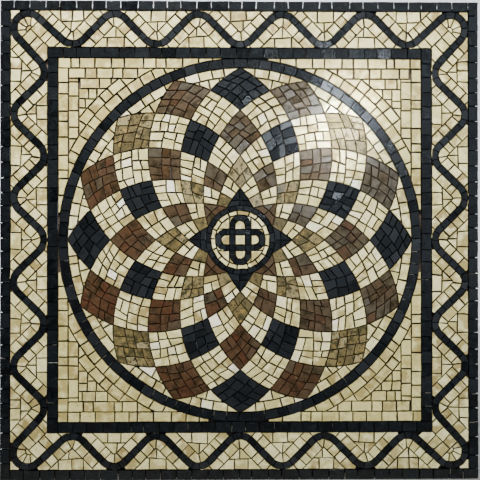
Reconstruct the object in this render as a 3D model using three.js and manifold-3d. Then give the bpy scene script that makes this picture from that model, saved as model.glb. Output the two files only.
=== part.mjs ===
// A square marble mosaic panel, standing upright with X to the right, Z up and its face towards -Y.
// The origin is the centre of the back. All lengths are in millimetres.
import * as THREE from 'three';
import { mergeVertices } from 'three/addons/utils/BufferGeometryUtils.js';
import Module from 'manifold-3d';

// The whole panel. The web is the thin layer that holds each cream field together under its inlays.
const panelSide = 600;
const stoneThickness = 10;
const webThickness = 1.2;
const backingThickness = 2;
const backingInset = 1.5;

// Clearances: the open joint between neighbouring stones, and the bed under them
const joint = 0.8;
const bed = 0.3;

// The square bands, from the edge inwards
const borderWidth = 12.6;
const waveBandWidth = 46.4;
const frameWidth = 13.1;

// The ribbon that waves round the panel between the border and the frame
const ribbonWidth = 8.2;
const bendRadius = 18;
const cornerRun = 2.8;
const troughsPerSide = 5;

// The circle, and the rosette of curved cells between it and the medallion
const circleInset = 0.3;
const circleWidth = 11.6;
const spokes = 16;
const curveSteps = 8;
const curveRise = 52.2;

// The medallion: a ring with a star round it and a knot of two crossed loops inside
const medallionRadius = 43.5;
const ringWidth = 6.2;
const knotCourse = 6.05;
const knotLoopWidth = 26.8;
const knotBand = 7;

// How finely the round lines are drawn
const bendTurn = Math.PI / 8;
const segmentsPerStep = 2;
const segmentsPerSpoke = 4;
const knotSegments = 6;

// Lines and levels that follow from the sizes
const borderInside = panelSide / 2 - borderWidth;
const frameOutside = borderInside - waveBandWidth;
const frameInside = frameOutside - frameWidth;
const circleRadius = frameInside - circleInset;
const tipRadius = circleRadius - circleWidth;
const ringInside = medallionRadius - ringWidth;
const halfStep = Math.PI / spokes;
const halfJoint = joint / 2;
const stoneBack = backingThickness + bed;
const stoneFront = stoneBack + stoneThickness;
const webFront = stoneBack + webThickness;
const inlayBack = webFront + bed;
const pocketFront = stoneFront + bed;

const wasm = await Module();
wasm.setup();

// Plane outlines, as lists of points seen from the front

function polar(radius, angle) {
  return new THREE.Vector2(radius * Math.sin(angle), radius * Math.cos(angle));
}

function square(half) {
  return [[-half, -half], [half, -half], [half, half], [-half, half]].map(([x, z]) => new THREE.Vector2(x, z));
}

function circle(radius) {
  const count = spokes * segmentsPerSpoke;
  return Array.from({ length: count }, (_, index) => polar(radius, -index * 2 * Math.PI / count));
}

// The outline moved outwards by a distance, or inwards by a negative one, with its corners kept sharp
function grown(outline, distance) {
  const side = THREE.ShapeUtils.isClockWise(outline) ? distance : -distance;
  return outline.map((point, index) => {
    const before = point.clone().sub(outline.at(index - 1)).normalize();
    const after = outline[(index + 1) % outline.length].clone().sub(point).normalize();
    const sum = new THREE.Vector2(-before.y - after.y, before.x + after.x);
    return point.clone().addScaledVector(sum, 2 * side / sum.lengthSq());
  });
}

// The bends of the ribbon, clockwise from the top left corner. A crest turns clockwise, a trough back.
function ribbonBends() {
  const crestLine = borderInside - ribbonWidth / 2;
  const troughLine = frameOutside + ribbonWidth / 2;
  const loopCentre = crestLine - bendRadius;
  const pitch = 2 * (loopCentre - cornerRun) / troughsPerSide;
  const side = [{ centre: new THREE.Vector2(-loopCentre, loopCentre), turn: 1 }];
  for (let index = 0; index < troughsPerSide; index++) {
    const x = (index - (troughsPerSide - 1) / 2) * pitch;
    side.push({ centre: new THREE.Vector2(x, troughLine + bendRadius), turn: -1 });
    if (index < troughsPerSide - 1) {
      side.push({ centre: new THREE.Vector2(x + pitch / 2, crestLine - bendRadius), turn: 1 });
    }
  }
  const origin = new THREE.Vector2();
  return [0, 1, 2, 3].flatMap((quarter) => side.map(({ centre, turn }) => (
    { centre: centre.clone().rotateAround(origin, -quarter * Math.PI / 2), turn })));
}

// The heading of the straight run that joins one bend to the next
function heading(bend, next) {
  const run = next.centre.clone().sub(bend.centre);
  return run.angle() - Math.asin(bendRadius * (bend.turn - next.turn) / run.length());
}

// The outline runs anticlockwise, like every other one that is cut into a band
function ribbonCentreLine() {
  const bends = ribbonBends();
  const points = bends.flatMap((bend, index) => {
    const arrive = heading(bends.at(index - 1), bend);
    const leave = heading(bend, bends[(index + 1) % bends.length]);
    const sweep = THREE.MathUtils.euclideanModulo(bend.turn * (arrive - leave), 2 * Math.PI);
    const count = Math.round(sweep / bendTurn);
    return Array.from({ length: count + 1 }, (_, step) => {
      const direction = arrive - bend.turn * sweep * step / count;
      const arm = new THREE.Vector2(-Math.sin(direction), Math.cos(direction));
      return bend.centre.clone().addScaledVector(arm, bendRadius * bend.turn);
    });
  });
  return points.reverse();
}

// The circular arc that every line of the rosette follows, from a tip on the X axis to the medallion
const curve = (() => {
  const tip = new THREE.Vector2(tipRadius, 0);
  const end = new THREE.Vector2(medallionRadius, 0).rotateAround(new THREE.Vector2(), curveSteps * halfStep);
  const chord = end.clone().sub(tip);
  const radius = (chord.lengthSq() / 4 + curveRise ** 2) / (2 * curveRise);
  const outwards = new THREE.Vector2(chord.y, -chord.x).normalize();
  const centre = tip.add(end).multiplyScalar(0.5).addScaledVector(outwards, curveRise - radius);
  return { centre, radius };
})();

// How far from the middle of the panel the arc is after a number of half-spoke steps
function curveReach(step) {
  const ray = new THREE.Vector2(Math.cos(step * halfStep), Math.sin(step * halfStep));
  const along = curve.centre.dot(ray);
  return along + Math.sqrt(curve.radius ** 2 - curve.centre.lengthSq() + along ** 2);
}

// An outline whose sides follow the rosette lines. Each corner is [step inwards, half-spokes aside].
function rosetteOutline(spoke, corners) {
  return corners.flatMap(([step, aside], index) => {
    const [nextStep, nextAside] = corners[(index + 1) % corners.length];
    const count = segmentsPerStep * Math.max(Math.abs(nextStep - step), Math.abs(nextAside - aside));
    return Array.from({ length: count }, (_, part) => {
      const share = part / count;
      const reach = curveReach(THREE.MathUtils.lerp(step, nextStep, share));
      return polar(reach, (2 * spoke + THREE.MathUtils.lerp(aside, nextAside, share)) * halfStep);
    });
  });
}

function cellOutline(ring, spoke) {
  return rosetteOutline(spoke, [[ring - 1, 0], [ring, 1], [ring + 1, 0], [ring, -1]]);
}

function pointOutline(spoke) {
  return rosetteOutline(spoke, [[curveSteps - 2, 0], [curveSteps, 2], [curveSteps, -2]]);
}

// A star point with its foot carried down to the middle of the ring, so that the two join
function rootedPointOutline(spoke) {
  const shrink = (ringInside + medallionRadius) / (2 * medallionRadius);
  return pointOutline(spoke).map((point) => (
    point.length() < medallionRadius + halfJoint ? point.multiplyScalar(shrink) : point));
}

function stadium(halfLength, halfWidth) {
  const points = [];
  for (const end of [1, -1]) {
    for (let step = 0; step <= knotSegments; step++) {
      const around = polar(halfWidth * end, -Math.PI * (step / knotSegments - 0.5));
      points.push(around.add(new THREE.Vector2(0, end * (halfLength - halfWidth))));
    }
  }
  return points;
}

// Solids. A plate is an outline, less its holes, between two distances in front of the back face.

function plate(outline, holes, back, front) {
  const shape = new THREE.Shape(outline);
  shape.holes = holes.map((hole) => new THREE.Path(hole));
  const geometry = new THREE.ExtrudeGeometry(shape, { depth: front - back, bevelEnabled: false });
  return geometry.translate(0, 0, back).rotateX(Math.PI / 2);
}

function solid(geometry) {
  const bare = geometry.clone();
  bare.deleteAttribute('normal');
  bare.deleteAttribute('uv');
  const welded = mergeVertices(bare);
  return new wasm.Manifold(new wasm.Mesh({
    numProp: 3,
    vertProperties: welded.attributes.position.array,
    triVerts: new Uint32Array(welded.index.array),
  }));
}

function geometryOf(manifold) {
  const { vertProperties, triVerts } = manifold.getMesh();
  const geometry = new THREE.BufferGeometry();
  geometry.setAttribute('position', new THREE.BufferAttribute(new Float32Array(vertProperties), 3));
  geometry.setIndex(new THREE.BufferAttribute(new Uint32Array(triVerts), 1));
  geometry.computeVertexNormals();
  return geometry;
}

function joined(geometries) {
  return geometries.map(solid).reduce((sum, next) => sum.add(next));
}

// A flat band between two outlines, made wider by the margin on both edges
function band(outside, inside, margin, back, front) {
  return plate(grown(outside, margin), [grown(inside, -margin)], back, front);
}

const centreLine = ribbonCentreLine();
const ribbonOutside = grown(centreLine, ribbonWidth / 2);
const ribbonInside = grown(centreLine, -ribbonWidth / 2);

function ribbonPlate(margin, back, front) {
  return band(ribbonOutside, ribbonInside, margin, back, front);
}

function circlePlate(margin, back, front) {
  return band(circle(circleRadius), circle(tipRadius), margin, back, front);
}

// Black star points stand on every fourth spoke, brown ones halfway between them
const spokeNumbers = Array.from({ length: spokes }, (_, spoke) => spoke);
const blackPoints = spokeNumbers.filter((spoke) => spoke % 4 === 0);
const brownPoints = spokeNumbers.filter((spoke) => spoke % 4 === 2);
const goldDiamonds = spokeNumbers.filter((spoke) => spoke % 2 === 1);

function starSolid(margin, back, front) {
  const ring = band(circle(medallionRadius), circle(ringInside), margin, back, front);
  const points = blackPoints.map((spoke) => plate(grown(rootedPointOutline(spoke), margin), [], back, front));
  return joined([ring, ...points]);
}

function knotSolid(margin, back, front) {
  const halfLength = ringInside - knotCourse;
  const halfWidth = knotLoopWidth / 2;
  const outside = stadium(halfLength, halfWidth);
  const inside = stadium(halfLength - knotBand, halfWidth - knotBand);
  const upright = band(outside, inside, margin, back, front);
  const lying = upright.clone().rotateY(Math.PI / 2);
  return joined([upright, lying]);
}

// The cells of the three coloured rings, named from the top clockwise
const cellRows = [
  { name: 'outer_cell', ring: 1, colours: ['black', 'brown', 'gold', 'brown'] },
  { name: 'middle_cell', ring: 3, colours: ['brown', 'black'] },
  { name: 'inner_cell', ring: 5, colours: ['gold', 'brown'] },
];
const cells = cellRows.flatMap(({ name, ring, colours }) => spokeNumbers.map((spoke) => {
  const colour = colours[spoke % colours.length];
  return { name: `${name}_${String(spoke).padStart(2, '0')}_${colour}`, colour, outline: cellOutline(ring, spoke) };
}));

// The small stones between the star points stay on the web of the square field, each in its own joint
const fieldStones = [
  ...goldDiamonds.map((spoke) => cellOutline(curveSteps - 1, spoke)),
  ...brownPoints.map(pointOutline),
];

function squareField() {
  const pockets = [...cells.map(({ outline }) => outline), ...fieldStones].map((outline) => (
    plate(grown(outline, halfJoint), [], webFront, pocketFront)));
  const stones = fieldStones.map((outline) => plate(grown(outline, -halfJoint), [], stoneBack, stoneFront));
  return solid(plate(square(frameInside - halfJoint), [], stoneBack, stoneFront))
    .subtract(solid(circlePlate(halfJoint, webFront, pocketFront)))
    .subtract(starSolid(halfJoint, webFront, pocketFront))
    .subtract(knotSolid(halfJoint, webFront, pocketFront))
    .subtract(joined(pockets))
    .add(joined(stones));
}

function borderField() {
  const field = band(square(borderInside), square(frameOutside), -halfJoint, stoneBack, stoneFront);
  return solid(field).subtract(solid(ribbonPlate(halfJoint, webFront, pocketFront)));
}

const stoneColours = { black: 0x30343c, cream: 0xe4d9bb, brown: 0x7d584a, gold: 0xa48c55, backing: 0xb9b4a6 };
const panel = new THREE.Group();
panel.name = 'mosaic_panel';

function place(name, geometry, colour) {
  const material = new THREE.MeshStandardMaterial({ color: stoneColours[colour], roughness: 0.4 });
  material.name = colour;
  const mesh = new THREE.Mesh(geometry, material);
  mesh.name = name;
  panel.add(mesh);
}

place('mesh_backing', plate(square(panelSide / 2 - backingInset), [], 0, backingThickness), 'backing');
place('outer_border', plate(square(panelSide / 2), [square(borderInside + halfJoint)], stoneBack, stoneFront), 'black');
place('border_field', geometryOf(borderField()), 'cream');
place('wave_ribbon', ribbonPlate(-halfJoint, inlayBack, stoneFront), 'black');
place('inner_frame', band(square(frameOutside), square(frameInside), -halfJoint, stoneBack, stoneFront), 'black');
place('square_field', geometryOf(squareField()), 'cream');
place('circle_band', circlePlate(-halfJoint, inlayBack, stoneFront), 'black');
for (const { name, colour, outline } of cells) {
  place(name, plate(grown(outline, -halfJoint), [], inlayBack, stoneFront), colour);
}
place('star_ring', geometryOf(starSolid(-halfJoint, inlayBack, stoneFront)), 'black');
place('knot', geometryOf(knotSolid(-halfJoint, inlayBack, stoneFront)), 'black');

export default panel;
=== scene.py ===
"""Dresses the mosaic panel: lays every tessera, the net behind them, the marble, the light and the camera.

The layout is drawn flat in millimetres, X to the right and Z up as seen from the front. Each outline then
becomes a stone in metres, with its face towards -Y.
"""

import math
import random

import bpy
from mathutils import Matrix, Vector, noise as waves
from mathutils.geometry import delaunay_2d_cdt


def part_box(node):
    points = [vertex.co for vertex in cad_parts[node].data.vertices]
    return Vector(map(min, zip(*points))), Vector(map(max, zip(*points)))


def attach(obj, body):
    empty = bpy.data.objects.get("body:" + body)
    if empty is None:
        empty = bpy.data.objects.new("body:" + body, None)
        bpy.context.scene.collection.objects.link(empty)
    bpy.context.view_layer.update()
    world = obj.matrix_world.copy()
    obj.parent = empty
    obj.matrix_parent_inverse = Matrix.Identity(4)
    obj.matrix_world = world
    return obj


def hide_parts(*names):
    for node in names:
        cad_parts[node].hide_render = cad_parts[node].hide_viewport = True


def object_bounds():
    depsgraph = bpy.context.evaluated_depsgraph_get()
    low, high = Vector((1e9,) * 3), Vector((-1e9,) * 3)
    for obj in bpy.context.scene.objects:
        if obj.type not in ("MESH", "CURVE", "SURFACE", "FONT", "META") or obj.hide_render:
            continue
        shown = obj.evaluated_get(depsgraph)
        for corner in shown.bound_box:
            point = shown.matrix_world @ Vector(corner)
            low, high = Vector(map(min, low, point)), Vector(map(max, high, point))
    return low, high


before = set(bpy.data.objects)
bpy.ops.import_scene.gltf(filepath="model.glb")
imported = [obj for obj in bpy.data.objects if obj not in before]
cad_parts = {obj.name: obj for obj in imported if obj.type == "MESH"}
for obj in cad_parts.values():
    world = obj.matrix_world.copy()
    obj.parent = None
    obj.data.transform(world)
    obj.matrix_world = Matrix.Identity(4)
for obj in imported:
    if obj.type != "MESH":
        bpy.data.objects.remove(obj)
cad_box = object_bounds()

SEED = 8685
dice = random.Random(SEED)

# Sizes shared with the solids, in millimetres
MM = 0.001
JOINT = 0.8
HALF_RIBBON = 4.1
BEND_RADIUS = 18
CORNER_RUN = 2.8
TROUGHS = 5
CIRCLE_WIDTH = 11.6
SPOKES = 16
CURVE_STEPS = 8
CURVE_RISE = 52.2
MEDALLION = 43.5
RING_WIDTH = 6.2
KNOT_COURSE = 6.05
KNOT_LOOP_WIDTH = 26.8
KNOT_BAND = 7
HALF_STEP = math.pi / SPOKES


def reach_of(node):
    """How far a node reaches to the right, in millimetres."""
    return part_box(node)[1].x / MM


PANEL = reach_of("outer_border")
BORDER_INSIDE = reach_of("border_field") + JOINT / 2
FRAME_OUTSIDE = reach_of("inner_frame") + JOINT / 2
FRAME_INSIDE = reach_of("square_field") + JOINT / 2
CIRCLE = reach_of("circle_band") + JOINT / 2
TIP = CIRCLE - CIRCLE_WIDTH
RING_INSIDE = MEDALLION - RING_WIDTH
KNOT_REACH = RING_INSIDE - KNOT_COURSE
STONE_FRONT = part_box("outer_border")[0].y / MM
STONE_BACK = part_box("outer_border")[1].y / MM

# The length and width of the stones in each run
STONE = 11.5
COURSE = 12.6
BORDER_STONE = 19
FRAME_STONE = 18
RIBBON_STONE = STONE * 0.95
SHORE_STONE = STONE * 1.15
INFILL_WIDTH = STONE * 1.1
INFILL_STONE = STONE * 1.35
LOOP_STONE = STONE * 1.3
CIRCLE_STONE = 16
ROUND_STONE = COURSE * 1.25
SIDE_WIDTH = COURSE * 1.02
SIDE_STONE = COURSE * 1.4
RIM_STONE = 16
RIM_REST_STONE = 13
STAR_STONE = 10
MEDALLION_STONE = 12.65

# How far the cuts stray from even places, as shares of their spacing, and how far they lean
ROW_SPREAD = 0.08
BAND_SPREAD = 0.12
FAN_SPREAD = 0.16
STONE_SPREAD = 0.2
RADIAL_SPREAD = 0.22
LOOP_SPREAD = 0.25
SIDE_SPREAD = 0.28
LEAN = 0.07

# The fan round the end of a corner loop
FAN_SHIFT = 3
FAN_CORE = 5
FAN_REACH = math.pi / 2 + 0.1
FAN_ANGLE = math.pi / 5
FAN_LINE = BEND_RADIUS * 4
SEAM_LINE = BEND_RADIUS * 16
SEAM_SHIFT = 1
CORNER_LEG = BEND_RADIUS * 0.65

# The ground in a corner: straight courses along the frame and round ones along the circle, from outside in
CORNER_LAYERS = (("side", 1), ("side", 1), ("round", 1), ("side", 2), ("side", 2), ("round", 2), ("side", 3))

# When a cell's stone is small enough, for a stone of size 1, and how a cell is shared out
LARGEST = 1.6
LONGEST = 1.75
SPLIT_SHARE = (0.38, 0.62)
INNER_GROWTH = {5: 1.25, 6: 1.12}

# The cuts in the star's points and in the knot
POINT_CUT = (6.5, 8)
POINT_ANGLE = 0.6
POINT_LEAN = 0.02
KNOT_CUTS = (-90, -45, 45, 90)
SHOULDER_ANGLES = (36, 52, 70, 90)

# How far a cutting line runs past what it cuts, and how near counts as on a line
PAST = 5
DEEP = 9
DEEPEST = 30
PAST_KNOT = 1
PAST_SHORE = 0.8
BEHIND_SHORE = 2
PAST_ANGLE = 0.1
RIM_ANGLE = 0.05
COURSE_SLACK = 0.6
NEAR = 0.01
SNAP = 0.001

# Steps along curves, and below which cosine two headings are a corner apart
ARC_STEP = math.radians(3)
BEND_STEP = math.radians(14)
SHORE_STEP = 1.5
WALK_STEP = 0.5
STADIUM_STEPS = 12
LINE_STEPS = 6
QUARTERS_SOUGHT = 8
CORNER_COSINE = 0.5

# What the cutting tool gives back: whole faces, or triangles
WHOLE_FACES = 4
TRIANGLES = 1

# The finish of each stone
CHAMFER = (0.2, 0.45)
CHIP = 0.3
CHIP_PLACE = (0.3, 0.7)
LONG_SIDE = 5
BROKEN_SHARE = 0.3
BROKEN = (0.5, 2.2)
TILT = 0.02
SUNK = 0.25
# Painted shade in the joints: the cut sides take the dark side colour in full, the chamfers this share of it.
CHAMFER_SHADE = 0.8
DUSTY = 1
DUSTY_SHARE = 0.35
FACING_SLACK = 2.5
WIDENING = 0.4

# What is too small to keep
SHORTEST_SIDE = 0.6
HOLLOW_SHOWS = 0.3
BULGE_SHOWS = 0.08
SHARPEST = 0.02
SMALLEST = 4
SMALLEST_LEFT = 1
SLIMMEST = 0.022

# Where in its marble's range of colours a stone may lie
ALL_TONES = (0, 1)
# How fast the painted light raises the tone towards the upper right, and how far each stone strays from it.
PAINTED_LIGHT_SPAN = 700
TONE_SCATTER = 0.15


def square_level(point):
    return max(abs(point.x), abs(point.y))


def round_level(point):
    return point.length


def painted_light_tone(outline):
    """Painted light: low tones to the lower left, high, lighter ones to the upper right, where the light
    falls, with some random scatter.
    """
    middle = middle_of(outline)
    return min(1, max(0, 0.5 + (middle.x + middle.y) / PAINTED_LIGHT_SPAN + dice.gauss(0, TONE_SCATTER)))


# How a run of stones is laid: the gap, the wear of the corners, the tones, and the lines of a band.
# Without a range of tones, the tones are painted light, rising towards the upper right.
TIGHT = {"gap": (0.04, 0.1), "wear": 0.1}
CLOSE = {"gap": (0.12, 0.28), "wear": 0.3}
OPEN = {"gap": (0.28, 0.54), "wear": 0.6}
DULL = {"gap": (0.22, 0.44), "wear": 0.6, "tones": (0, 0.82)}
LIGHT_CELLS = {**CLOSE, "tones": (0.5, 1)}
PAINTED_LIGHT_TONES = {**CLOSE, "tones": None}
ROUND_BAND = {"gap": (0.08, 0.2), "wear": 0.2, "level": round_level}
STRAIGHT_BAND = {**ROUND_BAND, "level": square_level, "tones": (0, 0.6)}
LOOSE_BAND = {**STRAIGHT_BAND, "gap": (0.02, 0.1), "wear": 0.7}


# Flat geometry

def at(x, z):
    return Vector((x, z))


def middle_of(points):
    return sum(points, at(0, 0)) / len(points)


def polar(radius, angle):
    return at(radius * math.sin(angle), radius * math.cos(angle))


def turned(point, quarters):
    """The point after some quarter turns clockwise."""
    x, z = point
    for _ in range(quarters % 4):
        x, z = z, -x
    return at(x, z)


def sides_of(outline):
    return zip(outline, outline[1:] + outline[:1])


def area(outline):
    return sum(a.cross(b) for a, b in sides_of(outline)) / 2


def anticlockwise(outline):
    return outline if area(outline) > 0 else outline[::-1]


def arc(radius, start, end):
    """Points on a circle round the middle, from one clock angle to another."""
    count = max(1, math.ceil(abs(end - start) / ARC_STEP))
    return [polar(radius, start + (end - start) * k / count) for k in range(count + 1)]


def split(outline, lines):
    """The outline cut along the lines, as a list of outlines."""
    points = list(outline)
    edges = []
    for line in lines:
        edges += [(len(points) + k, len(points) + k + 1) for k in range(len(line) - 1)]
        points += line
    made = delaunay_2d_cdt(points, edges, [list(range(len(outline)))], WHOLE_FACES, SNAP)
    corners, faces, sources = made[0], made[2], made[5]
    inside = [face for face, source in zip(faces, sources) if source]
    return [anticlockwise([corners[k] for k in face]) for face in inside]


def split_all(outlines, lines):
    return [piece for outline in outlines for piece in split(outline, lines)]


def part(outlines, line, is_near):
    """Cuts the outlines along a line. Gives the pieces whose corners are all near, and the rest."""
    near, far = [], []
    for piece in split_all(outlines, [line]):
        (near if all(is_near(corner) for corner in piece) else far).append(piece)
    return near, far


def cuts_between(start, end, spacing, spread):
    """Uneven cutting places between two ends, about a spacing apart."""
    count = max(1, round((end - start) / spacing))
    step = (end - start) / count
    return [start + step * (k + dice.uniform(-spread, spread)) for k in range(1, count)]


def straight_rows(outline, angle, width, length):
    """Fills an outline with rows of stones. The rows run at an angle to X."""
    along = at(math.cos(angle), math.sin(angle))
    across = at(-along.y, along.x)
    stones = []
    for row in split(outline, crossing_lines(outline, across, along, width, ROW_SPREAD)):
        stones += split(row, crossing_lines(row, along, across, length, STONE_SPREAD))
    return stones


def crossing_lines(outline, measured, drawn, spacing, spread):
    """Slightly leaning lines along one direction, set out across the outline in the other."""
    places = [corner.dot(measured) for corner in outline]
    middle = drawn * (sum(outline, at(0, 0)).dot(drawn) / len(outline))
    lines = []
    for place in cuts_between(min(places), max(places), spacing, spread):
        reach = (drawn + measured * dice.uniform(-LEAN, LEAN)) * PANEL
        lines.append([middle + measured * place - reach, middle + measured * place + reach])
    return lines


def strip(left, right, length):
    """Stones along a band given by its two edges, which have matching points."""
    middle = [(a + b) / 2 for a, b in zip(left, right)]
    run = [0]
    for before, after in zip(middle, middle[1:]):
        run.append(run[-1] + (after - before).length)
    width = (left[0] - right[0]).length
    cuts = [(0, 0)]
    for place in cuts_between(0, run[-1], length, BAND_SPREAD):
        lean = dice.uniform(-LEAN, LEAN) * width / 2
        cuts.append((place - lean, place + lean))
    cuts.append((run[-1], run[-1]))
    ends = zip(cuts, cuts[1:])
    return [anticlockwise(band_piece(left, right, run, start, end)) for start, end in ends]


def band_piece(left, right, run, start, end):
    sides = []
    for edge, first, last in zip((left, right), start, end):
        inner = [edge[k] for k, place in enumerate(run) if first < place < last]
        sides.append([point_at(edge, run, first), *inner, point_at(edge, run, last)])
    return sides[0] + sides[1][::-1]


def point_at(edge, run, place):
    k = next((k for k in range(1, len(run)) if run[k] >= place), len(run) - 1)
    share = (place - run[k - 1]) / (run[k] - run[k - 1])
    return edge[k - 1].lerp(edge[k], min(share, 1))


# The ribbon

def ribbon_bends():
    """The bends clockwise from the top left corner, as (centre, turn).

    The turn is 1 on a crest, where the ribbon turns clockwise, and -1 in a trough.
    """
    crest_line = BORDER_INSIDE - HALF_RIBBON
    trough_line = FRAME_OUTSIDE + HALF_RIBBON
    loop = crest_line - BEND_RADIUS
    pitch = 2 * (loop - CORNER_RUN) / TROUGHS
    side = [(at(-loop, loop), 1)]
    for k in range(TROUGHS):
        x = (k - (TROUGHS - 1) / 2) * pitch
        side.append((at(x, trough_line + BEND_RADIUS), -1))
        if k < TROUGHS - 1:
            side.append((at(x + pitch / 2, crest_line - BEND_RADIUS), 1))
    return [(turned(centre, quarter), turn) for quarter in range(4) for centre, turn in side]


def heading(bend, following):
    """The direction of the straight run from one bend to the next."""
    run = following[0] - bend[0]
    lean = math.asin(BEND_RADIUS * (bend[1] - following[1]) / run.length)
    return math.atan2(run.y, run.x) - lean


def ribbon_stations():
    """Steps along the ribbon as (bend centre, turn, heading), and those where it meets a square line."""
    bends = ribbon_bends()
    stations, marks = [], []
    for k, (centre, turn) in enumerate(bends):
        arrive = heading(bends[k - 1], bends[k])
        onward = heading(bends[k], bends[(k + 1) % len(bends)])
        leave = arrive - turn * ((turn * (arrive - onward)) % (2 * math.pi))
        quarters = [number * math.pi / 2 for number in range(-QUARTERS_SOUGHT, QUARTERS_SOUGHT)]
        level = [way for way in quarters if min(arrive, leave) < way < max(arrive, leave)]
        stops = sorted([arrive, leave, *level], reverse=turn > 0)
        for stop, following in zip(stops, stops[1:] + [None]):
            if stop in level:
                marks.append((len(stations), turn))
            stations.append((centre, turn, stop))
            if following is not None:
                steps = max(1, math.ceil(abs(following - stop) / BEND_STEP))
                stations += [(centre, turn, stop + (following - stop) * step / steps)
                             for step in range(1, steps)]
    return stations, marks


def ribbon_edge(stations, aside):
    """The ribbon's line shifted towards the border, or towards the frame where aside is negative."""
    return [centre + at(-math.sin(way), math.cos(way)) * (BEND_RADIUS * turn + aside)
            for centre, turn, way in stations]


def ribbon_fields():
    """The cream areas beside the ribbon, each as (its stations, its side of the ribbon, its corner)."""
    stations, marks = ribbon_stations()
    fields = []
    for turn, side, line in ((1, 1, BORDER_INSIDE), (-1, -1, FRAME_OUTSIDE)):
        touching = [index for index, bend_turn in marks if bend_turn == turn]
        touching.append(touching[0] + len(stations))
        for start, end in zip(touching, touching[1:]):
            steps = [stations[k % len(stations)] for k in range(start, end + 1)]
            corner = None
            if math.cos(steps[0][2] - steps[-1][2]) < CORNER_COSINE:
                middle = (steps[0][0] + steps[-1][0]) / 2
                corner = at(math.copysign(line, middle.x), math.copysign(line, middle.y))
            fields.append((steps, side, corner))
    return stations, fields


def hugging_course(shore, steps, side):
    """Cuts off the course that follows the ribbon. Gives its stones, and what is left inside."""
    inner = ribbon_edge(steps, side * (HALF_RIBBON + STONE))
    line = dense(shore, SHORE_STEP)
    core, course = part([anticlockwise(shore)], inner,
                        lambda corner: min((corner - near).length for near in line) > STONE - COURSE_SLACK)
    cuts = []
    for place, way in walk(shore, SHORE_STONE):
        away = at(-way.y, way.x) * side
        cuts.append([place - away * BEHIND_SHORE, place + away * (STONE + PAST_SHORE)])
    return split_all(course, cuts), core


def dense(line, step):
    """The line with more points, no further apart than a step."""
    points = []
    for a, b in zip(line, line[1:]):
        count = max(1, math.ceil((b - a).length / step))
        points += [a.lerp(b, k / count) for k in range(count)]
    return points + [line[-1]]


def walk(line, spacing):
    """Uneven places along a line, each with the line's direction there."""
    points = dense(line, WALK_STEP)
    total = len(points) - 1
    places = [round(place) for place in cuts_between(0, total, spacing / WALK_STEP, LOOP_SPREAD)]
    return [(points[k], (points[k + 1] - points[k - 1]).normalized()) for k in places if 1 <= k < total]


def side_field(steps, side):
    """A triangle between ribbon and square line: a course along the ribbon, and rows in the middle."""
    shore = ribbon_edge(steps, side * HALF_RIBBON)
    stones, core = hugging_course(shore, steps, side)
    along = shore[-1] - shore[0]
    for piece in core:
        stones += straight_rows(piece, math.atan2(along.y, along.x), INFILL_WIDTH, INFILL_STONE)
    return stones


def loop_field(steps, corner):
    """Inside a corner loop: a fan round its end, then two rows along the diagonal."""
    outline = ribbon_edge(steps, -HALF_RIBBON) + [corner]
    bend = steps[len(steps) // 2][0]
    inwards = -bend.normalized()
    centre = bend + inwards * FAN_SHIFT
    across = at(-inwards.y, inwards.x)
    head, body = part([anticlockwise(outline)], [centre - across * FAN_LINE, centre + across * FAN_LINE],
                      lambda point: (point - centre).dot(inwards) < NEAR)
    start = math.atan2(-inwards.x, -inwards.y)
    leans = [-FAN_REACH, *cuts_between(-math.pi / 2, math.pi / 2, FAN_ANGLE, FAN_SPREAD), FAN_REACH]
    core = [centre + polar(FAN_CORE, start + lean) for lean in leans]
    fan = [[point, point + (point - centre) * FAN_LINE] for point in core[1:-1]]
    stones = split_all(head, [core, *fan])
    aside = dice.uniform(-SEAM_SHIFT, SEAM_SHIFT)
    seam = [centre + across * aside, centre + across * aside + inwards * SEAM_LINE]
    for row in split_all(body, [seam]):
        stones += split(row, crossing_lines(row, inwards, across, LOOP_STONE, LOOP_SPREAD))
    return stones


def corner_field(steps, corner):
    """Outside a corner loop: one three-cornered stone and the two slim ends beside it."""
    outline = anticlockwise(ribbon_edge(steps, HALF_RIBBON) + [corner])
    aside = at(-math.copysign(CORNER_LEG, corner.x), 0)
    down = at(0, -math.copysign(CORNER_LEG, corner.y))
    return split(outline, [[corner + aside - down, corner + aside + down],
                           [corner + down - aside, corner + down + aside]])


def ribbon_stones(stations):
    closed = stations + stations[:1]
    left, right = ribbon_edge(closed, HALF_RIBBON), ribbon_edge(closed, -HALF_RIBBON)
    return strip(left, right, RIBBON_STONE)


# The square bands, the circle and the corners between them

def square_band(outside, inside, length):
    """Four straight runs of stones, each from one corner to just short of the next."""
    stones = []
    for quarter in range(4):
        left = [turned((-outside, outside), quarter), turned((inside, outside), quarter)]
        right = [turned((-outside, inside), quarter), turned((inside, inside), quarter)]
        stones += strip(left, right, length)
    return stones


def ring_band(outside, inside, length):
    turn = 2 * math.pi
    start = dice.uniform(0, turn)
    return strip(arc(outside, start, start + turn), arc(inside, start, start + turn), length)


def radial_cuts(inside, outside, start, end, length):
    """Lines outwards from one circle to another. Their spacing is measured on the inner one."""
    lines = []
    for angle in cuts_between(start, end, length / inside, RADIAL_SPREAD):
        lean = dice.uniform(-LEAN, LEAN) * (outside - inside) / (outside + inside)
        lines.append([polar(inside, angle - lean), polar(outside, angle + lean)])
    return lines


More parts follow.
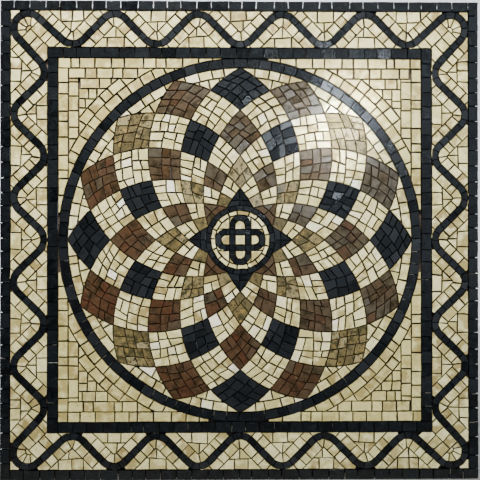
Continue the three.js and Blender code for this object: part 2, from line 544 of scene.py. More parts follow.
def corner_ground(quarter):
    """The ground between circle and frame in one corner. It is laid for the top left and then turned."""
    edge = FRAME_INSIDE
    outline = [at(-edge, edge), at(0, edge), *arc(CIRCLE, 0, -math.pi / 2)[1:-1], at(-edge, 0)]
    left_to_lay = [anticlockwise(outline)]
    stones = []
    upright = quarter % 2 == 1
    for kind, number in CORNER_LAYERS:
        if kind == "round":
            course, left_to_lay = round_course(left_to_lay, CIRCLE + COURSE * number)
            cuts = radial_cuts(CIRCLE - PAST, CIRCLE + COURSE * number + PAST, -math.pi / 2, 0, ROUND_STONE)
        else:
            course, left_to_lay = side_course(left_to_lay, edge - SIDE_WIDTH * number, upright)
            places = cuts_between(0, edge + PAST, SIDE_STONE, SIDE_SPREAD)
            cuts = [long_line(place if upright else -place, not upright) for place in places]
            upright = not upright
        stones += split_all(course, cuts)
    for piece in left_to_lay:
        stones += straight_rows(piece, 0, COURSE, COURSE)
    return [[turned(point, quarter) for point in stone] for stone in stones]


def long_line(place, upright):
    """A line right across the panel, either way."""
    far = 2 * PANEL
    if upright:
        return [at(place, -far), at(place, far)]
    return [at(-far, place), at(far, place)]


def round_course(outlines, radius):
    line = arc(radius, -PAST_ANGLE - math.pi / 2, PAST_ANGLE)
    return part(outlines, line, lambda point: point.length < radius + NEAR)


def side_course(outlines, level, upright):
    if upright:
        return part(outlines, long_line(-level, True), lambda point: point.x < NEAR - level)
    return part(outlines, long_line(level, False), lambda point: point.y > level - NEAR)


# The rosette

def rosette_curve():
    """Centre and radius of the arc that all lines of the rosette follow, from a tip to the medallion."""
    tip = at(TIP, 0)
    end = at(math.cos(CURVE_STEPS * HALF_STEP), math.sin(CURVE_STEPS * HALF_STEP)) * MEDALLION
    chord = end - tip
    radius = (chord.length_squared / 4 + CURVE_RISE ** 2) / (2 * CURVE_RISE)
    outwards = at(chord.y, -chord.x).normalized()
    return (tip + end) / 2 + outwards * (CURVE_RISE - radius), radius


CURVE_CENTRE, CURVE_RADIUS = rosette_curve()


def rosette_point(step, aside, spoke):
    """A place on the rosette: steps inwards from the tips, and half-spokes aside of a spoke."""
    ray = at(math.cos(step * HALF_STEP), math.sin(step * HALF_STEP))
    along = CURVE_CENTRE.dot(ray)
    reach = along + math.sqrt(CURVE_RADIUS ** 2 - CURVE_CENTRE.length_squared + along ** 2)
    return polar(reach, (2 * spoke + aside) * HALF_STEP)


def rosette_line(spoke, start, end):
    """Points from one (step, aside) to another."""
    points = []
    for k in range(LINE_STEPS + 1):
        step = start[0] + (end[0] - start[0]) * k / LINE_STEPS
        aside = start[1] + (end[1] - start[1]) * k / LINE_STEPS
        points.append(rosette_point(step, aside, spoke))
    return points


def cell_point(number, spoke, u, v):
    """A place in a cell of a ring. Both shares run from its outer corner, one along each side."""
    return rosette_point(number - 1 + u + v, u - v, spoke)


CELL_CORNERS = ((0, 0), (1, 0), (1, 1), (0, 1))


def cell_stones(number, spoke, size):
    """A four-sided cell split across its longer way, again and again, until the stones are small enough."""
    waiting = [[Vector(corner) for corner in CELL_CORNERS]]
    stones = []
    while waiting:
        square = waiting.pop()
        points = [cell_point(number, spoke, *place) for place in square]
        sides = [(points[(k + 1) % 4] - points[k]).length for k in range(4)]
        if abs(area(points)) < LARGEST * size ** 2 and max(sides) < LONGEST * size:
            stones.append(anticlockwise(points))
            continue
        if sides[0] + sides[2] < sides[1] + sides[3]:
            square = square[1:] + square[:1]
        share, lean = dice.uniform(*SPLIT_SHARE), dice.uniform(-LEAN, LEAN)
        low = square[0].lerp(square[1], share - lean)
        high = square[3].lerp(square[2], share + lean)
        waiting += [[square[0], low, high, square[3]], [low, square[1], square[2], high]]
    return stones


def rim_ground(spoke):
    """Between two tips, under the circle: a course along the circle, and what is left below it."""
    start, end = 2 * spoke * HALF_STEP, (2 * spoke + 2) * HALF_STEP
    outline = arc(TIP, start, end)[:-1]
    outline += rosette_line(spoke + 1, (0, 0), (1, -1))[:-1] + rosette_line(spoke, (1, 1), (0, 0))[:-1]
    radius = TIP - STONE
    rest, course = part([anticlockwise(outline)], arc(radius, start - RIM_ANGLE, end + RIM_ANGLE),
                        lambda point: point.length < radius + NEAR)
    stones = []
    for piece in course:
        stones += split(piece, radial_cuts(radius - DEEP, TIP + PAST, start, end, RIM_STONE))
    low, high = start + RIM_ANGLE, end - RIM_ANGLE
    for piece in rest:
        stones += split(piece, radial_cuts(radius - DEEPEST, radius + PAST, low, high, RIM_REST_STONE))
    return stones


def point_stones(spoke):
    """One point of the star, cut along its middle and across."""
    tip, foot = (CURVE_STEPS - 2, 0), CURVE_STEPS
    outline = rosette_line(spoke, tip, (foot, 2))[:-1]
    outline += arc(MEDALLION, (2 * spoke + 2) * HALF_STEP, (2 * spoke - 2) * HALF_STEP)[:-1]
    outline += rosette_line(spoke, (foot, -2), tip)[:-1]
    middle = 2 * spoke * HALF_STEP + dice.uniform(-POINT_LEAN, POINT_LEAN)
    across = MEDALLION + dice.uniform(*POINT_CUT)
    lines = [[polar(MEDALLION - DEEP, middle), polar(TIP, middle)],
             arc(across, middle - POINT_ANGLE, middle + POINT_ANGLE)]
    return split(anticlockwise(outline), lines)


# The medallion

def stadium(half_length, half_width, lying):
    """The outline of a loop with round ends."""
    points = []
    for end in (1, -1):
        for k in range(STADIUM_STEPS + 1):
            place = polar(half_width * end, math.pi * (k / STADIUM_STEPS - 0.5))
            place = place + at(0, end * (half_length - half_width))
            points.append(turned(place, 1) if lying else place)
    return points


def is_in_stadium(point, half_length, half_width, lying):
    across, along = (abs(point.y), abs(point.x)) if lying else (abs(point.x), abs(point.y))
    over = max(0, along - (half_length - half_width))
    return math.hypot(across, over) < half_width


def knot_lines():
    """The outlines of both loops, and the lines that cut their bands into stones."""
    half = KNOT_LOOP_WIDTH / 2
    sizes = [(KNOT_REACH, half), (KNOT_REACH - KNOT_BAND, half - KNOT_BAND)]
    loops = [stadium(length, width, lying) for length, width in sizes for lying in (False, True)]
    cuts = []
    for quarter in range(4):
        bend = at(0, KNOT_REACH - half)
        for angle in KNOT_CUTS:
            reaches = (half - KNOT_BAND - PAST_KNOT, half + PAST_KNOT)
            cuts.append([turned(bend + polar(reach, math.radians(angle)), quarter) for reach in reaches])
    return [loop + loop[:1] for loop in loops], cuts


def medallion_pieces():
    """The disc inside the cream course, sorted into knot stones and cream stones."""
    half = KNOT_LOOP_WIDTH / 2
    hole = (KNOT_REACH - KNOT_BAND, half - KNOT_BAND)
    loops, cuts = knot_lines()
    knot = []
    ground = [stone for quarter in range(4) for stone in knot_corner(quarter)]
    for piece in split(anticlockwise(arc(KNOT_REACH, 0, 2 * math.pi)[:-1]), loops):
        inner = inner_point(piece)
        on_loop = [is_in_stadium(inner, KNOT_REACH, half, lying) for lying in (False, True)]
        in_hole = [is_in_stadium(inner, *hole, lying) for lying in (False, True)]
        if any(loop and not inside for loop, inside in zip(on_loop, in_hole)):
            knot += split(piece, cuts)
        elif any(on_loop):
            ground.append(piece)
    return knot, ground


def knot_corner(quarter):
    """The stones between two loops: a three-cornered one and a small one beside each loop's shoulder."""
    half = KNOT_LOOP_WIDTH / 2
    bend, corner = at(0, KNOT_REACH - half), at(half, half)
    shoulder = [bend + polar(half, math.radians(angle)) for angle in SHOULDER_ANGLES]
    start = math.atan2(shoulder[0].x, shoulder[0].y)
    outline = [*shoulder, corner, *(at(point.y, point.x) for point in shoulder[::-1]),
               *arc(KNOT_REACH, math.pi / 2 - start, start)]
    far = KNOT_REACH + PAST_KNOT
    stones = split(anticlockwise(outline), [[corner, at(half, far)], [corner, at(far, half)]])
    return [[turned(point, quarter) for point in stone] for stone in stones]


def inner_point(outline):
    """A point inside an outline: the middle of its largest triangle."""
    made = delaunay_2d_cdt(outline, [], [list(range(len(outline)))], TRIANGLES, SNAP)
    triangles = [[made[0][k] for k in face] for face in made[2]]
    return middle_of(max(triangles, key=lambda corners: abs(area(corners))))


# From outlines to stones

def tidied(outline):
    """The outline without doubled corners, and without corners that hardly show."""
    corners = list(outline)
    while len(corners) > 3:
        sides = [(corners[k] - corners[k - 1]).length for k in range(len(corners))]
        k = sides.index(min(sides))
        if sides[k] > SHORTEST_SIDE:
            break
        corners[k - 1] = (corners[k] + corners[k - 1]) / 2
        corners.pop(k)
    kept = []
    for k, corner in enumerate(corners):
        before, after = kept[-1] if kept else corners[-1], corners[(k + 1) % len(corners)]
        chord = after - before
        bulge = chord.cross(corner - before) / max(chord.length, SHORTEST_SIDE)
        if bulge < -HOLLOW_SHOWS or bulge > BULGE_SHOWS:
            kept.append(corner)
    return kept


def inset(outline, margin):
    """The outline moved inwards. A side too short to last closes up. None where nothing is left."""
    corners = list(outline)
    while len(corners) > 2:
        moved = moved_in(corners, margin)
        lost = [k for k in range(len(corners)) if side_turned(corners, moved, k)]
        if not lost:
            return moved if area(moved) > SMALLEST_LEFT else None
        k = min(lost, key=lambda index: (corners[(index + 1) % len(corners)] - corners[index]).length)
        following = (k + 1) % len(corners)
        corners[k] = (corners[k] + corners[following]) / 2
        corners.pop(following)
    return None


def side_turned(corners, moved, k):
    following = (k + 1) % len(corners)
    return (corners[following] - corners[k]).dot(moved[following] - moved[k]) <= 0


def moved_in(corners, margin):
    moved = []
    for k, corner in enumerate(corners):
        before = (corner - corners[k - 1]).normalized()
        after = (corners[(k + 1) % len(corners)] - corner).normalized()
        total = at(-before.y - after.y, before.x + after.x)
        moved.append(corner + total * (2 * margin / max(total.length_squared, SHARPEST)))
    return moved


def chamfered(outline, margin):
    """The outline moved inwards with every corner kept."""
    moved = moved_in(outline, margin)
    if any(side_turned(outline, moved, k) for k in range(len(outline))):
        middle = middle_of(outline)
        moved = [corner + (middle - corner).normalized() * margin for corner in outline]
    return moved


def hand_cut(outline, wear):
    """Corners drawn in unevenly and long sides worn in the middle, as on stones cut by hand."""
    middle = middle_of(outline)
    corners = [corner + (middle - corner).normalized() * dice.uniform(0, wear) for corner in outline]
    points = []
    for a, b in sides_of(corners):
        points.append(a)
        side = b - a
        if side.length > LONG_SIDE:
            inwards = at(-side.y, side.x).normalized()
            points.append(a.lerp(b, dice.uniform(*CHIP_PLACE)) + inwards * dice.uniform(0, CHIP))
    return points


def corner_broken(outline):
    """Now and then one sharp corner is broken off."""
    k = dice.randrange(len(outline))
    corner, before, after = outline[k], outline[k - 1], outline[(k + 1) % len(outline)]
    sides = (before - corner).length, (after - corner).length
    if dice.random() > BROKEN_SHARE or min(sides) < 2 * BROKEN[1]:
        return outline
    cut = [corner + (end - corner).normalized() * dice.uniform(*BROKEN) for end in (before, after)]
    return outline[:k] + cut + outline[k + 1:]


def is_slim(outline):
    around = sum((b - a).length for a, b in sides_of(outline))
    return area(outline) < SLIMMEST * around ** 2


class Pile:
    """Stones that share a piece: their corners and faces, with each face's tone, and its painted joint shade
    and dust.
    """

    def __init__(self, cut):
        self.gap, self.wear, self.level = cut["gap"], cut["wear"], cut.get("level")
        self.tones_laid = cut.get("tones", ALL_TONES)
        self.corners, self.faces, self.tones, self.shades_and_dust = [], [], [], []

    def add_stone(self, outline):
        widened = 1 + WIDENING * middle_of(outline).y / PANEL
        foot = inset(tidied(outline), dice.uniform(*self.gap) * widened)
        if foot is None or area(foot) < SMALLEST or is_slim(foot):
            return
        foot = hand_cut(corner_broken(foot), self.wear)
        top = chamfered(foot, dice.uniform(*CHAMFER))
        # Without a range, the tone is painted light: higher towards the upper right.
        tone = dice.uniform(*self.tones_laid) if self.tones_laid else painted_light_tone(outline)
        self.add_layers(foot, top, tone)

    def add_layers(self, foot, top, tone):
        """Upright sides from the foot, a chamfer, and a top that tilts a little."""
        middle = middle_of(top)
        tilt = at(dice.gauss(0, TILT), dice.gauss(0, TILT))
        sunk = dice.uniform(0, SUNK)
        heights = [(point - middle).dot(tilt) for point in top]
        lift = STONE_FRONT + sunk + max(0, -min(heights))
        shoulder = dice.uniform(*CHAMFER)
        first, count = len(self.corners), len(foot)
        levels = [lift + height for height in heights]
        self.corners += [(point.x, STONE_BACK, point.y) for point in foot]
        self.corners += [(point.x, level + shoulder, point.y) for point, level in zip(foot, levels)]
        self.corners += [(point.x, level, point.y) for point, level in zip(top, levels)]
        self.faces.append([first + k for k in range(count)][::-1])
        self.faces.append([first + 2 * count + k for k in range(count)])
        dusty = self.level and middle.y < 0 and dice.random() < DUSTY_SHARE
        # Painted shade in the joints: the back and the cut sides are darkened in full, the chamfers mostly,
        # the top not at all. A dusty side gets dust over this shade.
        self.shades_and_dust += [1, 0]
        for layer, shade_and_dust in ((first, 1), (first + count, CHAMFER_SHADE)):
            for k in range(count):
                following = (k + 1) % count
                upper = layer + count
                self.faces.append([layer + k, layer + following, upper + following, upper + k])
                facing = dusty and self.is_facing(middle, (foot[k] + foot[following]) / 2)
                self.shades_and_dust.append(shade_and_dust + DUSTY if facing else shade_and_dust)
        self.tones += [tone] * (2 + 2 * count)

    def is_facing(self, middle, side):
        """Whether a side of a stone in a band faces the next stone of the band."""
        return abs(self.level(side) - self.level(middle)) < FACING_SLACK


def shown(name, data):
    made = bpy.data.objects.new(name, data)
    bpy.context.scene.collection.objects.link(made)
    return made


def solid(name, corners, faces, material):
    mesh = bpy.data.meshes.new(name)
    mesh.from_pydata(corners, [], faces)
    mesh.materials.append(material)
    return shown(name, mesh)


def make_piece(name, corners, faces, stone, nodes):
    """A piece that takes the place of some nodes, from corners in millimetres."""
    material, slot = stone
    made = solid(name, [tuple(MM * value for value in corner) for corner in corners], faces, material)
    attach(made, "root")
    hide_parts(*nodes)
    return made


def lay(outlines, cut, name, stone, nodes):
    """A piece made of stones, one for each outline that is large enough."""
    pile = Pile(cut)
    for outline in outlines:
        pile.add_stone(outline)
    made = make_piece(name, pile.corners, pile.faces, stone, nodes)
    for label, values in (("tone", pile.tones), ("shade_and_dust", pile.shades_and_dust)):
        made.data.attributes.new(label, "FLOAT", "FACE").data.foreach_set("value", values)


# Materials

CLOUD_DETAIL = 5
GRAIN = {"scale": 900, "detail": 2, "low": 0.3, "high": 0.7}
GRAIN_DEPTH = 0.0002
GRAIN_STRENGTH = 0.12
VEIN_SCALE = 55
VEIN_DETAIL = 6
VEIN_WANDER = 1.2
VEIN_WIDTH = 0.012
VEIN_SHARE = 0.55
NET_GRAIN = {"detail": 4, "low": 0.35, "high": 0.65}
NET_DEPTH = 0.0003
NET_SHADE = 0.6
SCREEN_GAMMA = 2.2


def linear(colour, strength=1):
    """A colour with its alpha, from screen values from 0 to 255."""
    return (*(strength * (value / 255) ** SCREEN_GAMMA for value in colour), 1)


DUST = linear((125, 122, 114))


def shader(name):
    material = bpy.data.materials.new(name)
    material.use_nodes = True
    return material, material.node_tree, material.node_tree.nodes["Principled BSDF"]


def feed(tree, node, inputs):
    """Joins the node's inputs to the outputs that are given, or sets them to values."""
    for key, value in inputs.items():
        if isinstance(value, bpy.types.NodeSocket):
            tree.links.new(value, node.inputs[key])
        else:
            node.inputs[key].default_value = value


def add_node(tree, kind, inputs, output=None, **settings):
    """A new node with its settings and inputs. Gives the named output, or else the first."""
    node = tree.nodes.new(f"ShaderNode{kind}")
    for setting, value in settings.items():
        setattr(node, setting, value)
    feed(tree, node, inputs)
    return node.outputs[output] if output else next(found for found in node.outputs if found.enabled)


def noise(tree, where, scale, detail, low, high):
    """A soft noise stretched so that it runs from 0 at one value to 1 at another."""
    inputs = {"Vector": where, "Scale": scale, "Detail": detail}
    value = add_node(tree, "TexNoise", inputs)
    return add_node(tree, "MapRange", {"Value": value, "From Min": low, "From Max": high})


def veins(tree, where):
    """Thin wandering lines, where a distorted noise crosses its middle value."""
    inputs = {"Vector": where, "Scale": VEIN_SCALE, "Detail": VEIN_DETAIL, "Distortion": VEIN_WANDER}
    value = add_node(tree, "TexNoise", inputs)
    away = add_node(tree, "Math", {0: value, 1: 0.5}, operation="SUBTRACT")
    size = add_node(tree, "Math", {0: away}, operation="ABSOLUTE")
    line = {"Value": size, "From Min": VEIN_WIDTH, "From Max": 0, "To Max": VEIN_SHARE}
    return add_node(tree, "MapRange", line)


def mixed(tree, under, over, share):
    return add_node(tree, "Mix", {"Factor": share, "A": under, "B": over}, data_type="RGBA")


def ramp(tree, share, stops):
    """Colours along a value, each with its place. The first two are the ends of the range."""
    colour = add_node(tree, "ValToRGB", {"Fac": share})
    elements = colour.node.color_ramp.elements
    for index, (position, stop_colour) in enumerate(stops):
        stop = elements[index] if index < 2 else elements.new(position)
        stop.position = position
        stop.color = linear(stop_colour)
    return colour


def marble(name, stones, clouds, vein, side, roughness, shine, slot=None):
    """Polished marble, with its slot. Each stone takes its colour from its tone, then gets clouds and veins.

    A cloud is a colour, the scale of its noise, and the values where it starts and is full. The chamfers and
    the cut sides are darkened as painted shade in the joints, and some cut sides are dusty.
    """
    material, tree, surface = shader(name)
    tone = add_node(tree, "Attribute", {}, "Fac", attribute_name="tone")
    shade_and_dust = add_node(tree, "Attribute", {}, "Fac", attribute_name="shade_and_dust")
    place = add_node(tree, "TexCoord", {}, "Object")
    scatter = add_node(tree, "TexWhiteNoise", {"W": tone}, "Color", noise_dimensions="1D")
    where = add_node(tree, "VectorMath", {0: place, 1: scatter})
    colour = ramp(tree, tone, stones)
    for cloud, scale, low, high in clouds:
        colour = mixed(tree, colour, linear(cloud), noise(tree, where, scale, CLOUD_DETAIL, low, high))
    colour = mixed(tree, colour, linear(vein), veins(tree, where))
    # Painted shade: the cut sides and chamfers are mixed towards the dark side colour, standing in for the
    # shade in the joints between stones.
    colour = mixed(tree, colour, linear(side), shade_and_dust)
    dusty = add_node(tree, "Math", {0: shade_and_dust, 1: DUSTY}, operation="SUBTRACT")
    grain = noise(tree, where, **GRAIN)
    low, high = roughness
    feed(tree, surface, {
        "Base Color": mixed(tree, colour, DUST, dusty),
        "Specular IOR Level": shine,
        "Roughness": add_node(tree, "MapRange", {"Value": grain, "To Min": low, "To Max": high}),
        "Normal": bumped(tree, grain, GRAIN_STRENGTH, GRAIN_DEPTH)})
    return material, slot or name


def bumped(tree, height, strength, depth):
    return add_node(tree, "Bump", {"Height": height, "Strength": strength, "Distance": depth})


def glued_net(name, colour, roughness, grain_scale):
    """Glass fibre or adhesive, darker in small patches, with its slot."""
    material, tree, surface = shader(name)
    grain = noise(tree, add_node(tree, "TexCoord", {}, "Object"), grain_scale, **NET_GRAIN)
    shaded = mixed(tree, linear(colour), linear(colour, NET_SHADE), grain)
    normal = bumped(tree, grain, 1, NET_DEPTH)
    feed(tree, surface, {"Base Color": shaded, "Roughness": roughness, "Normal": normal})
    return material, "net_backing"


# Each marble's side colour is painted shade for the joints between stones, darker than the stone's own
# colour.
black = marble(
    "black_marble",
    stones=[(0, (12, 13, 14)), (1, (36, 38, 41)), (0.6, (22, 24, 26))],
    clouds=[((24, 28, 32), 95, 0.45, 0.7)],
    vein=(40, 42, 44), side=(5, 5, 5), roughness=(0.08, 0.16), shine=0.31)
# The cream's side colour is painted joint shade as well.
CREAM = {"slot": "cream_marble", "side": (54, 50, 37), "roughness": (0.17, 0.3), "shine": 0.6}
cream_tan = marble(
    "cream_marble_tan", **CREAM,
    stones=[(0, (143, 127, 78)), (1, (209, 198, 134)), (0.5, (177, 164, 102))],
    clouds=[((155, 145, 96), 60, 0.5, 0.8), ((211, 202, 142), 95, 0.45, 0.68),
            ((116, 92, 50), 420, 0.64, 0.74)],
    vein=(118, 98, 54))
cream_pale = marble(
    "cream_marble_pale", **CREAM,
    stones=[(0, (139, 123, 76)), (1, (246, 245, 228)), (0.5, (189, 179, 119)), (0.88, (225, 216, 162))],
    clouds=[((166, 152, 100), 60, 0.5, 0.8), ((229, 221, 167), 95, 0.45, 0.68),
            ((118, 98, 56), 420, 0.64, 0.74)],
    vein=(124, 104, 62))
# On brown stones the painted light runs along this ramp: low tones red-brown, high ones a lighter grey.
brown = marble(
    "brown_marble",
    stones=[(0, (71, 47, 34)), (1, (72, 70, 64)), (0.35, (70, 54, 40)), (0.7, (72, 66, 54))],
    clouds=[((43, 37, 26), 95, 0.45, 0.68), ((82, 73, 56), 420, 0.6, 0.75)],
    vein=(94, 81, 60), side=(46, 34, 24), roughness=(0.1, 0.18), shine=0.28)
gold = marble(
    "gold_marble",
    stones=[(0, (83, 75, 50)), (1, (140, 131, 100)), (0.5, (106, 95, 63))],
    clouds=[((62, 59, 40), 130, 0.48, 0.62), ((146, 122, 72), 150, 0.58, 0.74),
            ((46, 40, 24), 480, 0.56, 0.66)],
    vein=(48, 44, 30), side=(50, 44, 28), roughness=(0.14, 0.28), shine=0.35)
glass_fibre = glued_net("glass_fibre", (206, 202, 188), roughness=0.4, grain_scale=2500)
# Painted shade, in part: the adhesive is a darker brown than the glue itself, so that the joints between the
# stones look shaded.
adhesive = glued_net("adhesive", (74, 62, 48), roughness=0.55, grain_scale=180)


# The net and the adhesive behind the stones

STRANDS = (("net_warp", True, 7), ("net_weft", False, 3))
NET_PITCH = 6
NET_INSET = 1.5
STRAND_WIDTH = 0.9
STRAND_THICKNESS = 0.32
NET_MIDDLE = -0.4
WEAVE = 0.2
DRIFT = 0.5
DRIFT_SCALE = (0.05, 0.02)
DRIFT_FADE = 6
ADHESIVE_INSET = 1.6
TOP_ADHESIVE_INSET = 7
ADHESIVE_CELLS = 96
ADHESIVE_LAYERS = ((STONE_BACK + 0.2, 0.15), (NET_MIDDLE - 0.25, 0.12))
ADHESIVE_SCALE = 0.06
EDGE_SCALE = 0.03
EDGE_SWING = 0.012
EDGE_SEED = 5


def lay_net():
    """Strands both ways, passing over and under each other. They drift a little between the edges."""
    reach = PANEL - NET_INSET - STRAND_WIDTH / 2
    count = round(2 * reach / NET_PITCH)
    lines = [2 * reach * k / count - reach for k in range(count + 1)]
    for name, upright, seed in STRANDS:
        corners, faces = [], []
        for number, line in enumerate(lines):
            path = []
            for crossing, along_line in enumerate(lines):
                place = Vector((line * DRIFT_SCALE[0], along_line * DRIFT_SCALE[1], seed))
                drift = DRIFT * waves.noise(place)
                drift *= 1 - (abs(along_line) / reach) ** DRIFT_FADE
                side = -1 if (number + crossing) % 2 == upright else 1
                aside = min(reach, max(-reach, line + drift))
                path.append((aside, NET_MIDDLE + side * WEAVE / 2, along_line))
            add_strand(corners, faces, path, upright)
        make_piece(name, corners, faces, glass_fibre, ["mesh_backing"])


def add_strand(corners, faces, path, upright):
    """A flat strand with four sides along a path given as (aside, depth, along)."""
    first = len(corners)
    half_width, half_thickness = STRAND_WIDTH / 2, STRAND_THICKNESS / 2
    for aside, depth, along_line in path:
        for width, thickness in ((-1, 0), (0, -1), (1, 0), (0, 1)):
            place = (aside + width * half_width, depth + thickness * half_thickness, along_line)
            corners.append(place if upright else place[::-1])
    last = len(corners) - 4
    turn = 1 if upright else -1
    for start in range(first, last, 4):
        for k in range(4):
            following = (k + 1) % 4
            faces.append([start + k, start + 4 + k, start + 4 + following, start + following][::turn])
    faces.append([first + k for k in range(4)][::turn])
    faces.append([last + k for k in range(4)][::-turn])


def adhesive_corners():
    """Two wavy square grids, the one by the stones first. Both stop short of the panel's top edge."""
    reach = PANEL - ADHESIVE_INSET
    step = 2 * reach / ADHESIVE_CELLS
    raised = TOP_ADHESIVE_INSET - ADHESIVE_INSET
    corners = []
    for depth, swing in ADHESIVE_LAYERS:
        for row in range(ADHESIVE_CELLS + 1):
            for column in range(ADHESIVE_CELLS + 1):
                x, z = column * step - reach, (row * step - reach) - raised * row / ADHESIVE_CELLS
                edge = 1 - EDGE_SWING * abs(waves.noise(Vector((x * EDGE_SCALE, z * EDGE_SCALE, EDGE_SEED))))
                rise = swing * waves.noise(Vector((x * ADHESIVE_SCALE, z * ADHESIVE_SCALE, depth)))
                corners.append((x * edge, depth + rise, z * edge))
    return corners


def lay_adhesive():
    """An uneven layer between the stones and the net. Its edge wanders."""
    count = ADHESIVE_CELLS + 1
    layer = count * count
    faces = []
    for row in range(ADHESIVE_CELLS):
        for column in range(ADHESIVE_CELLS):
            k = row * count + column
            square = [k, k + 1, k + 1 + count, k + count]
            faces.append(square)
            faces.append([layer + corner for corner in square[::-1]])
    rim = [*range(count), *range(2 * count - 1, layer, count), *range(layer - 2, layer - count - 1, -1),
           *range(layer - 2 * count, 0, -count)]
    for here, following in sides_of(rim):
        faces.append([following, here, layer + here, layer + following])
    make_piece("adhesive", adhesive_corners(), faces, adhesive, ["mesh_backing"])


# Laying the stones

def lay_square_bands():
    border = square_band(PANEL, BORDER_INSIDE, BORDER_STONE)
    lay(border, LOOSE_BAND, "border_stones", black, ["outer_border"])
    frame_course = square_band(FRAME_OUTSIDE, FRAME_INSIDE, FRAME_STONE)
    lay(frame_course, STRAIGHT_BAND, "frame_stones", black, ["inner_frame"])


def lay_wave_band():
    stations, fields = ribbon_fields()
    lay(ribbon_stones(stations), TIGHT, "ribbon_stones", black, ["wave_ribbon"])
    ground = []
    for steps, side, corner in fields:
        if corner is None:
            ground += side_field(steps, side)
        elif side > 0:
            ground += corner_field(steps, corner)
        else:
            ground += loop_field(steps, corner)
    lay(ground, DULL, "wave_ground", cream_pale, ["border_field"])


RINGS = {1: ("outer_cell", ("black", "brown", "gold", "brown")),
         3: ("middle_cell", ("brown", "black")),
         5: ("inner_cell", ("gold", "brown"))}
LAST_RING = 6


def lay_rosette():
    """The coloured cells. Gives back the cream stones of the rings between them."""
    cells = {"black": (LIGHT_CELLS, black), "brown": (PAINTED_LIGHT_TONES, brown), "gold": (CLOSE, gold)}
    outlines = {colour: [] for colour in cells}
    nodes = {colour: [] for colour in cells}
    ground = []
    for number in range(1, LAST_RING + 1):
        size = STONE * INNER_GROWTH.get(number, 1)
        for spoke in range(SPOKES):
            if number not in RINGS:
                ground += cell_stones(number, spoke + 0.5, size)
                continue
            name, colours = RINGS[number]
            colour = colours[spoke % len(colours)]
            outlines[colour] += cell_stones(number, spoke, size)
            nodes[colour].append(f"{name}_{spoke:02d}_{colour}")
    for colour, (cut, stone) in cells.items():
        lay(outlines[colour], cut, f"{colour}_cells", stone, nodes[colour])
    return ground


def lay_medallion():
    """Everything inside the rosette. Gives back the cream stones of the medallion."""
    points = {"black": [], "brown": []}
    for spoke in range(0, SPOKES, 2):
        points["black" if spoke % 4 == 0 else "brown"] += point_stones(spoke)
    diamonds = [anticlockwise([cell_point(CURVE_STEPS - 1, spoke, *corner) for corner in CELL_CORNERS])
                for spoke in range(1, SPOKES, 2)]
    knot, ground = medallion_pieces()
    star = points["black"] + ring_band(MEDALLION, RING_INSIDE, STAR_STONE)
    lay(star, TIGHT, "star_stones", black, ["star_ring"])
    lay(points["brown"], PAINTED_LIGHT_TONES, "brown_point_stones", brown, ["square_field"])
    lay(diamonds, CLOSE, "gold_diamond_stones", gold, ["square_field"])
    lay(knot, TIGHT, "knot_stones", black, ["knot"])
    return ground + ring_band(RING_INSIDE, KNOT_REACH, MEDALLION_STONE)


def lay_square_field():
    ground = lay_rosette() + lay_medallion()
    for spoke in range(SPOKES):
        ground += rim_ground(spoke)
    lay(ground, OPEN, "rosette_ground", cream_pale, ["square_field"])
    corners = [stone for quarter in range(4) for stone in corner_ground(quarter)]
    lay(corners, OPEN, "corner_ground", cream_tan, ["square_field"])
    circle = ring_band(CIRCLE, TIP, CIRCLE_STONE)
    lay(circle, ROUND_BAND, "circle_stones", black, ["circle_band"])


lay_net()
lay_adhesive()
lay_square_bands()
lay_wave_band()
lay_square_field()


# The room, in metres

ROOM = 4
FLOOR_GAP = 0.0005
PLAIN_ROUGHNESS = 0.8
GLOW_TOWARDS = Vector((0.5, -1, 0.48)).normalized()
GLOW = {"From Min": 0.76, "From Max": 0.96, "To Min": 0.07, "To Max": 1.25}
GLOW_COLOUR = (0.76, 0.87, 1, 1)
CAMERA_PLACE = (-0.055, -1.9, -0.019)
LENS = 113

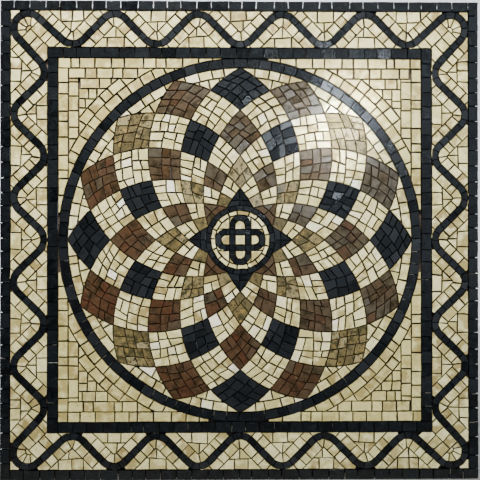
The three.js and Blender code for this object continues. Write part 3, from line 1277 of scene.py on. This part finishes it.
# Name, place, aim, size, spread in degrees, power and colour. The last two make the glare on the stones.
LIGHTS = (
    ("key", (-0.15, -1.9, 1.5), (-0.1, 0, 1), 0.8, 70, 49, (1, 0.95, 0.84)),
    ("wall", (0, 2.8, 2.6), (0, 4, 0.3), 1.5, 150, 75, (0.96, 0.98, 1)),
    ("side", (1.6, -1.5, 0.1), (0.2, 0, -0.25), 0.6, 70, 1.8, (0.7, 0.84, 1)),
    ("window", (0.26, -1.6, 0.29), (0.115, 0, 0.15), 0.05, 30, 0.045, (0.8, 0.9, 1)),
    ("pool", (1.1, -1.7, 1.3), (0.118, 0, 0.142), 0.05, 3, 0.28, (0.95, 0.97, 1)))


def sheet(name, corners, colour):
    """A plain sheet, for the floor or the backdrop."""
    material, tree, surface = shader(f"pale_{name}")
    feed(tree, surface, {"Base Color": linear(colour), "Roughness": PLAIN_ROUGHNESS})
    solid(name, corners, [(0, 1, 2, 3)], material)


def aimed(name, data, place, aim):
    """A light or the camera at a place, looking at another."""
    made = shown(name, data)
    made.location = place
    made.rotation_euler = (Vector(aim) - made.location).to_track_quat("-Z", "Y").to_euler()
    return made


def area_light(name, place, aim, size, spread, power, colour):
    light = bpy.data.lights.new(name, "AREA")
    light.shape = "SQUARE"
    light.size = size
    light.spread = math.radians(spread)
    light.energy = power
    light.color = colour
    aimed(name, light, place, aim)


def set_room():
    low, far = cad_box[0].z - FLOOR_GAP, ROOM
    sheet("floor", [(-far, -far, low), (far, -far, low), (far, far, low), (-far, far, low)], (176, 177, 177))
    sheet("backdrop", [(-far, far, low), (far, far, low), (far, far, far), (-far, far, far)], (232, 234, 238))
    for light in LIGHTS:
        area_light(*light)


def set_sky():
    """A dim room with a soft pale glow high up to the right, which the polished stones show as a haze."""
    world = bpy.data.worlds.new("room")
    world.use_nodes = True
    tree = world.node_tree
    way = add_node(tree, "TexCoord", {}, "Generated")
    nearness = add_node(tree, "VectorMath", {0: way, 1: GLOW_TOWARDS}, operation="DOT_PRODUCT")
    glow = add_node(tree, "MapRange", {"Value": nearness, **GLOW}, interpolation_type="SMOOTHSTEP")
    feed(tree, tree.nodes["Background"], {"Color": GLOW_COLOUR, "Strength": glow})
    bpy.context.scene.world = world


def set_camera():
    camera = bpy.data.cameras.new("camera")
    camera.lens = LENS
    bpy.context.scene.camera = aimed("camera", camera, CAMERA_PLACE, (0, 0, 0))


set_room()
set_sky()
set_camera()
